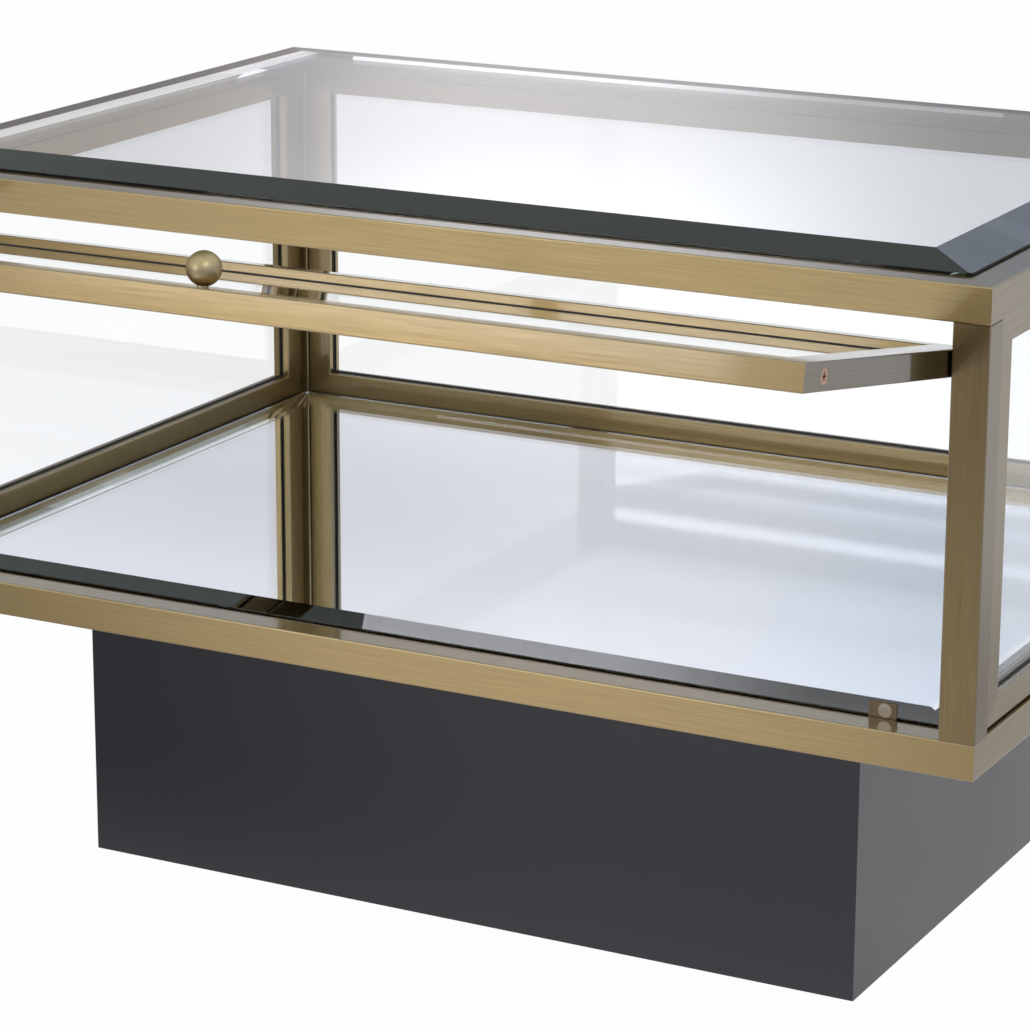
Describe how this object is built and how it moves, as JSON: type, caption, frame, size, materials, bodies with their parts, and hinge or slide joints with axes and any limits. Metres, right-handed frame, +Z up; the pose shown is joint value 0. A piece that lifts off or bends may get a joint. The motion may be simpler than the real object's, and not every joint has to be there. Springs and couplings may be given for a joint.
{
  "type": "collectors display table",
  "caption": "Low glass display table: brushed brass frame, bevelled glass top, mirror floor, glazed sides, front flap door with a ball knob, on a charcoal box plinth.",
  "frame": {"origin": "on the floor, under the middle of the table", "axes": "+X to the right seen from the front, -Y to the front where the door opens, +Z up"},
  "size_m": [0.762, 0.7398, 0.4898],
  "materials": {
    "antique_brass": "antique brass, brushed along its length, satin lacquer",
    "satin_brass": "antique brass, satin",
    "dull_brass": "antique brass, dull",
    "nickel": "nickel plated magnet",
    "top_glass": "clear polished float glass with a wide bevel",
    "pane_glass": "clear polished float glass",
    "mirror": "silvered glass with a bevel",
    "black_gasket": "matt",
    "clear_pads": "clear soft pads",
    "steel": "zinc plated",
    "coppered_steel": "coppered screw head",
    "bush_plastic": "acetal",
    "washer_plastic": "friction washer",
    "charcoal_paint": "board with charcoal satin lacquer",
    "bare_board": "fibreboard, unfinished",
    "felt": "felt"
  },
  "bodies": {
    "case": {"back_frame_bottom_bar": "antique_brass", "back_frame_left_stile": "antique_brass", "back_frame_right_stile": "antique_brass", "back_frame_top_bar": "antique_brass", "back_glass": "pane_glass", "base_board": "bare_board", "bottom_rail_back": "antique_brass", "bottom_rail_front": "antique_brass", "bottom_rail_left": "antique_brass", "bottom_rail_right": "antique_brass", "catch_brackets": "dull_brass", "catch_magnets": "nickel", "frame_corner_keys": "steel", "glides": "felt", "left_frame_back_stile": "antique_brass", "left_frame_bottom_bar": "antique_brass", "left_frame_front_stile": "antique_brass", "left_frame_top_bar": "antique_brass", "left_glass": "pane_glass", "mirror_panel": "mirror", "pane_gaskets": "black_gasket", "pane_jamb_strips": "antique_brass", "pivot_blocks": "steel", "pivot_pins": "steel", "pivot_washers": "washer_plastic", "plinth_back": "charcoal_paint", "plinth_blocks": "bare_board", "plinth_front": "charcoal_paint", "plinth_left": "charcoal_paint", "plinth_right": "charcoal_paint", "plinth_screws": "steel", "plinth_top": "bare_board", "post_back_left": "antique_brass", "post_back_right": "antique_brass", "post_end_plugs": "antique_brass", "post_front_left": "antique_brass", "post_front_right": "antique_brass", "right_frame_back_stile": "antique_brass", "right_frame_bottom_bar": "antique_brass", "right_frame_front_stile": "antique_brass", "right_frame_top_bar": "antique_brass", "right_glass": "pane_glass", "top_glass": "top_glass", "top_glass_pads": "clear_pads", "top_rail_back": "antique_brass", "top_rail_front": "antique_brass", "top_rail_left": "antique_brass", "top_rail_right": "antique_brass"},
    "door": {"door_bottom_bar": "antique_brass", "door_corner_keys": "steel", "door_corner_screws": "coppered_steel", "door_gasket": "black_gasket", "door_glass": "pane_glass", "door_left_stile": "antique_brass", "door_right_stile": "antique_brass", "door_top_bar": "antique_brass", "knob": "satin_brass", "knob_screw": "coppered_steel", "pivot_bushes": "bush_plastic"}
  },
  "joints": [
    {"name": "door_pivot", "type": "hinge", "parent": "case", "child": "door", "pos_m": [0, -0.2588, 0.4275], "axis": [1, 0, 0], "range_deg": [-38, 99.9]}
  ]
}
